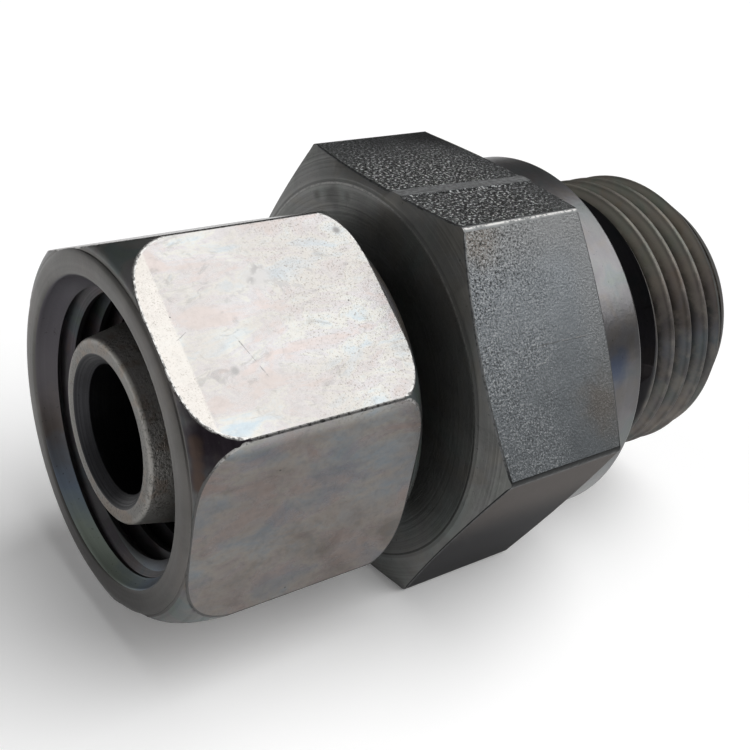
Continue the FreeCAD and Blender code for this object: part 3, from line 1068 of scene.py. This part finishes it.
def body_finishes(colours, sizes, proud):
    """The body's finishes by slot; proud is the radius of the hexagon's rounded edges."""
    forged, worn = colours.forged, colours.worn
    # Radii for the thread's painted shade in its roots and painted highlight on its crests.
    crest = sizes.thread / 2 - 0.18 * sizes.pitch
    root = sizes.thread / 2 - 0.58 * sizes.pitch
    return {
        "flats": forged_flats(forged),
        "turned": turned_steel("Turned body", colours.turned, 0.30, 0.022, 0.42, 0.25,
                               stains_and_shade=FACE_SMUDGES, contrast=0.22, dull=0.22),
        # Painted highlight: the face ring is lighter above the axis, for the glint along that edge.
        "face ring": worn_edge_with_painted_light("Face ring", times(worn, 0.6), colours.turned, 0.0, 9 * MM, dull=0.35),
        "collar": turned_steel("Collar", colours.collar, 0.40, 0.0004, 0.31, 0.3, 2.5,
                               stains_and_shade=COLLAR_STAINS, contrast=0.05, dull=0.08, polish=0.01),
        # The undercut's dark colour is painted shade.
        "undercut": turned_steel("Undercut", colours.undercut, 0.2, 0.004, 0.5, 0.4),
        "stud": turned_steel("Stud end", times(colours.stud, 0.7), 0.14, 0.004, 0.45, 0.3,
                             contrast=0.12, edge=0.3),
        "nose": rough_nose(colours.nose),
        # The bore's near-black colour is painted shade.
        "bore": turned_steel("Bore wall", colours.bore, 0.25, 0.015, 0.45, 0.0),
        # Painted highlight along the upper edges' proud line, painted shade along the lower edges.
        "edges": worn_edge_with_painted_light("Body edge", worn, times(forged, 0.7), 2 * MM, 5 * MM, proud),
        "rims": worn_edge_with_painted_light("Body rim", times(forged, 0.8), times(forged, 0.4), 0.0, 2 * MM),
        "seam": seam_steel(times(forged, 1.4)),
        "thread": thread_steel(colours.stud, colours.undercut, root, crest, -sizes.undercut_length),
    }


def nut_stains_and_shade(sizes):
    """Painted shade round the nut's near front corner, and a brown streak beside its front face."""
    corner_radius = sizes.across_flats / math.sqrt(3)
    # Painted shade round the near front corner.
    shaded_corner = Vector((NUT_HIGH.x - 2.0 * MM, corner_radius * math.cos(sizes.turned_by),
                           corner_radius * math.sin(sizes.turned_by)))
    stains_and_shade = [(shaded_corner, 6.5 * MM, DARK_PAINTED_SHADE)]
    streak_x = 32.15
    streak_radius = 11.6
    for around in (27, 24, 21, 18, 15):
        turn = math.radians(around)
        centre = spot(streak_x, streak_radius * math.cos(turn), streak_radius * math.sin(turn))
        stains_and_shade.append((centre, 0.7 * MM, BROWN_STREAK))
    return stains_and_shade


def nut_finishes(colours, sizes):
    """The nut's finishes by slot."""
    nut, inside = colours.nut, colours.nut_inside
    return {
        "flats": nut_flats(nut, NUT_HIGH.x),
        "corners": turned_steel("Nut corners", colours.nut_turned, 0.35, 0.006, 0.36, 0.7, 3.0,
                                stains_and_shade=nut_stains_and_shade(sizes), contrast=0.15, dull=0.30),
        # The nut face is painted darker low down: painted shade.
        "face": turned_steel("Nut face", colours.nut_face, 0.5, 0.002, 0.42, 0.1, 3.0,
                             contrast=0.06, dull=0.15, polish=0.03, dirt_and_painted_shade=0.85),
        "inside": mouth_steel(inside, NUT_HIGH.x - sizes.mouth_depth, NUT_HIGH.x - 2 * sizes.mouth_depth),
        # Painted shade: the nut's long edges are almost black, darker still low down.
        "edges": worn_edge_with_painted_light("Nut edge", times(nut, 0.45), times(nut, 0.10), 2 * MM, 6 * MM),
        # Painted highlight: the nut's rims are bright along the upper flats.
        "rims": worn_edge_with_painted_light("Nut rim", times(colours.worn, 1.1), times(nut, 0.42), 3.5 * MM, 5 * MM,
                          dirt_and_painted_shade=0.35),
        "thread": turned_steel("Nut thread", times(inside, 0.6), 0.12, 0.004, 0.40, 0.8, 3.0, dull=0.2),
    }


def give_finishes(piece, materials):
    """The piece's material slots, in order."""
    piece.data.materials.clear()
    for material in materials:
        piece.data.materials.append(material)


class COUPLING_OT_stud_body(bpy.types.Operator):
    """Turns, cuts and threads the forged body"""
    bl_idname = "coupling.stud_body"
    bl_label = "Stud Body"

    def execute(self, context):
        sizes = context.scene.coupling_body
        across_flats = BODY_HIGH.z - BODY_LOW.z
        corner = across_flats / math.sqrt(3)
        body = turn_solid("stud_body_steel", stud_body_outline(sizes, corner))
        bar = hexagon_bar("body_bar", across_flats, BODY_LOW.x - MM, BODY_HIGH.x + MM, 0.0,
                          sizes.edge_round, sizes.seam_height)
        add_seams(bar, sizes, across_flats)
        combine(body, bar, "INTERSECT")
        face_x = sizes.collar_length + sizes.hexagon_length
        groove_end = -sizes.undercut_length + sizes.run_out + 0.1 * MM
        slack = 0.01 * MM
        planed = across_flats / 2 - sizes.seam_height

        def choose(middle, normal):
            radius = math.hypot(middle.y, middle.z)
            if outward(middle, normal) < 0 and radius < sizes.nose_mouth / 2:
                return "bore"
            if sizes.collar_length - slack < middle.x < face_x:
                if abs(middle.z) > across_flats / 2 - 0.05 * sizes.seam_height:
                    return "seam"
                if on_flat(middle, normal, 2 * planed, 0.0):
                    return "flats"
                if abs(normal.z) > 0.9 and abs(middle.y) < corner / 2 - sizes.edge_round:
                    return "flats"
                if abs(normal.x) < 0.05:
                    return "edges"
            if middle.x > sizes.shoulder_start:
                return "nose"
            if middle.x < -sizes.undercut_length + slack:
                return "stud"
            if middle.x < sizes.collar_length:
                on_land = radius > sizes.collar / 2 - sizes.land - sizes.collar_edge
                return "collar" if on_land else "undercut"
            on_ring = face_x - 3 * slack < middle.x < face_x - slack / 10 and normal.x < 0.999
            if on_ring and radius > sizes.face / 2 - 10 * slack:
                return "face ring"
            return "turned"

        tilt = math.cos(math.radians(30))
        edge_radius = math.hypot(planed, (across_flats - planed) / 2 / tilt)
        proud = edge_radius - sizes.edge_round * (1 / tilt - 1)
        finishes = body_finishes(context.scene.coupling_finish, sizes, proud)
        give_finishes(body, [finishes[slot] for slot in BODY_SLOTS])
        sort_faces(body, BODY_SLOTS, choose)
        soften_edges(body, sizes.edge_wear, BODY_SLOTS, ("seam", "edges"))
        groove = whitworth_groove(sizes.thread / 2, sizes.pitch)
        cutter = thread_cutter("stud_groove", groove, sizes.pitch, BODY_LOW.x - sizes.pitch,
                               groove_end + sizes.run_out)
        give_finishes(cutter, [finishes["thread"]])
        combine(body, cutter, "DIFFERENCE")
        finish_mesh(body)
        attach(body, "fitting")
        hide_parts("stud_body")
        return {"FINISHED"}


def nut_minor_radius(sizes):
    """Radius of the nut's bore at the crests of its thread."""
    return (sizes.thread - 1.0825 * sizes.pitch) / 2


def nut_outline(sizes):
    """Outline of the turned nut, round its outside and back through its bore."""
    rear, front = NUT_LOW.x, NUT_HIGH.x
    flat = sizes.across_flats / 2
    corner = sizes.across_flats / math.sqrt(3)
    minor = nut_minor_radius(sizes)
    hole = sizes.hole / 2
    relief = sizes.relief / 2
    front_edge = front - sizes.face_step
    rear_edge = rear + sizes.skirt
    mouth_inner_x = front - sizes.mouth_depth
    seat_x = rear + sizes.seat
    relief_x = seat_x + relief - hole
    points = [at(rear, hole + FINE), at(rear, sizes.skirt_face / 2)]
    points += quarter_round(rear_edge, flat, rear, sizes.skirt_face / 2, 8)[-2::-1]
    points += quarter_round(rear_edge + sizes.rear_round, corner, rear_edge, flat, 14)[-2::-1]
    points += quarter_round(front_edge - sizes.front_round, corner, front_edge, flat, 16)
    points += quarter_round(front_edge, flat, front, sizes.face / 2, 5)[1:]
    rim = sizes.mouth_round
    points += arc(front - rim, sizes.mouth / 2 + rim, rim, 0.0, -78.0, 5)
    points += [
        at(mouth_inner_x, sizes.mouth_inner / 2),
        at(mouth_inner_x - (sizes.mouth_inner / 2 - minor), minor),
        at(relief_x + sizes.relief_length + relief - minor, minor),
        at(relief_x + sizes.relief_length, relief),
        at(relief_x, relief),
        at(seat_x, hole),
        at(rear + FINE, hole),
    ]
    return points


class COUPLING_OT_swivel_nut(bpy.types.Operator):
    """Turns, cuts and threads the swivel nut"""
    bl_idname = "coupling.swivel_nut"
    bl_label = "Swivel Nut"

    def execute(self, context):
        sizes = context.scene.coupling_nut
        nut = turn_solid("swivel_nut_steel", nut_outline(sizes))
        bar = hexagon_bar("nut_bar", sizes.across_flats, NUT_LOW.x - MM, NUT_HIGH.x + MM,
                          sizes.turned_by, sizes.edge_round)
        combine(nut, bar, "INTERSECT")
        shelf_x = NUT_HIGH.x - sizes.face_step

        def choose(middle, normal):
            radius = math.hypot(middle.y, middle.z)
            if outward(middle, normal) < 0.05 * MM and radius < sizes.mouth / 2 + 0.1 * MM:
                return "inside"
            if on_flat(middle, normal, sizes.across_flats, sizes.turned_by):
                return "flats"
            if abs(normal.x) < 0.01 and radius > sizes.across_flats / 2:
                return "edges"
            return "face" if middle.x > shelf_x - 0.02 * MM else "corners"

        finishes = nut_finishes(context.scene.coupling_finish, sizes)
        give_finishes(nut, [finishes[slot] for slot in NUT_SLOTS])
        sort_faces(nut, NUT_SLOTS, choose)
        soften_edges(nut, sizes.edge_wear, NUT_SLOTS, ("edges",))
        groove = metric_groove(nut_minor_radius(sizes), sizes.thread / 2 + 0.04 * MM, sizes.pitch)
        relief_end = NUT_LOW.x + sizes.seat + (sizes.relief - sizes.hole) / 2 + sizes.relief_length
        cutter = thread_cutter("nut_groove", groove, sizes.pitch, relief_end - 0.6 * sizes.pitch,
                               NUT_HIGH.x + 0.5 * sizes.pitch)
        give_finishes(cutter, [finishes["thread"]])
        combine(nut, cutter, "DIFFERENCE")
        finish_mesh(nut)
        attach(nut, "nut")
        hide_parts("swivel_nut")
        return {"FINISHED"}


class COUPLING_OT_rubber_ring(bpy.types.Operator):
    """Spins the rubber ring with its moulding line"""
    bl_idname = "coupling.rubber_ring"
    bl_label = "Rubber Ring"

    def execute(self, context):
        sizes = context.scene.coupling_ring
        ring_x = (RING_LOW.x + RING_HIGH.x) / 2
        section = sizes.section / 2
        centre = RING_HIGH.z - section
        points = arc(ring_x, centre, section, 4.0, 176.0, 22)
        points += [at(ring_x - section - sizes.flash, centre)]
        points += arc(ring_x, centre, section, 184.0, 356.0, 22)
        points += [at(ring_x + section + sizes.flash, centre)]
        ring = turn_solid("cone_ring_rubber", points, RING_STEPS)
        finish_mesh(ring, 50.0)
        give_finishes(ring, [black_rubber(context.scene.coupling_finish.rubber)])
        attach(ring, "fitting")
        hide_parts("cone_o_ring")
        return {"FINISHED"}


class COUPLING_OT_stage(bpy.types.Operator):
    """Sets the pale floor, the soft lamps and the camera"""
    bl_idname = "coupling.stage"
    bl_label = "Stage"

    def execute(self, context):
        settings = context.scene.coupling_stage
        finish = context.scene.coupling_finish
        deselect_all()
        bpy.ops.mesh.primitive_plane_add(size=settings.floor_size, location=(0, 0, BODY_LOW.z))
        floor = context.object
        floor.name = "floor"
        bpy.ops.object.transform_apply(location=True, rotation=True, scale=True)
        paint = bpy.data.materials.new("Pale floor")
        paint.use_nodes = True
        shader = paint.node_tree.nodes["Principled BSDF"]
        shader.inputs["Base Color"].default_value = (*finish.floor, 1.0)
        shader.inputs["Roughness"].default_value = 0.9
        shader.inputs["Specular IOR Level"].default_value = 0.1
        rays = node(paint.node_tree, "ShaderNodeLightPath").outputs
        seen = calculate(paint.node_tree, "MAXIMUM", rays["Is Camera Ray"], rays["Is Glossy Ray"])
        seen = calculate(paint.node_tree, "MAXIMUM", seen, rays["Is Transmission Ray"])
        shader.inputs["Emission Color"].default_value = (1.0, 1.0, 1.0, 1.0)
        glow = calculate(paint.node_tree, "MULTIPLY", seen, settings.floor_glow)
        join(paint.node_tree, glow, shader.inputs["Emission Strength"])
        floor.data.materials.append(paint)

        lamps = (
            ("large_lamp", settings.lamp_aim, settings.lamp_level, settings.lamp_width),
            ("fill_lamp", settings.fill_aim, settings.fill_level, settings.fill_width),
        )
        for name, away, strength, width in lamps:
            aim = Vector(away).normalized()
            bpy.ops.object.light_add(type="SUN", location=aim,
                                     rotation=(-aim).to_track_quat("-Z", "Y").to_euler())
            lamp = context.object
            lamp.name = name
            lamp.data.energy = strength
            lamp.data.angle = width

        world = bpy.data.worlds.new("Studio")
        world.use_nodes = True
        world.node_tree.nodes["Background"].inputs["Strength"].default_value = settings.world_level
        world.node_tree.nodes["Background"].inputs["Color"].default_value = (1.0, 1.0, 1.0, 1.0)
        context.scene.world = world

        bpy.ops.object.camera_add(location=settings.camera_place, rotation=settings.camera_turn)
        camera = context.object
        camera.name = "camera"
        camera.data.lens = settings.lens
        camera.data.sensor_width = settings.sensor
        camera.data.clip_start = 0.005
        camera.data.clip_end = 20.0
        context.scene.camera = camera
        context.scene.view_settings.view_transform = "Standard"
        return {"FINISHED"}


class COUPLING_PT_panel(bpy.types.Panel):
    """Lists the coupling's pieces and settings in the sidebar"""
    bl_label = "Swivel Stud Coupling"
    bl_idname = "COUPLING_PT_panel"
    bl_space_type = "VIEW_3D"
    bl_region_type = "UI"
    bl_category = "Coupling"

    def draw(self, context):
        for operator in OPERATORS:
            self.layout.operator(operator.bl_idname)
        for group_name, group in GROUPS.items():
            box = self.layout.box()
            for setting in group.__annotations__:
                box.prop(getattr(context.scene, group_name), setting)


GROUPS = {
    "coupling_body": StudBodySizes,
    "coupling_nut": SwivelNutSizes,
    "coupling_ring": RingSizes,
    "coupling_finish": FinishColours,
    "coupling_stage": StageSettings,
}
OPERATORS = (
    COUPLING_OT_stud_body,
    COUPLING_OT_swivel_nut,
    COUPLING_OT_rubber_ring,
    COUPLING_OT_stage,
)


def register():
    """Registers the settings, operators and panel."""
    for name, group in GROUPS.items():
        bpy.utils.register_class(group)
        setattr(bpy.types.Scene, name, PointerProperty(type=group))
    for operator in OPERATORS:
        bpy.utils.register_class(operator)
    bpy.utils.register_class(COUPLING_PT_panel)


def unregister():
    """Removes what register added."""
    bpy.utils.unregister_class(COUPLING_PT_panel)
    for operator in reversed(OPERATORS):
        bpy.utils.unregister_class(operator)
    for name, group in GROUPS.items():
        delattr(bpy.types.Scene, name)
        bpy.utils.unregister_class(group)


def main():
    """Makes every piece and the stage."""
    register()
    bpy.ops.coupling.stud_body()
    bpy.ops.coupling.swivel_nut()
    bpy.ops.coupling.rubber_ring()
    bpy.ops.coupling.stage()


if __name__ == "__main__":
    main()
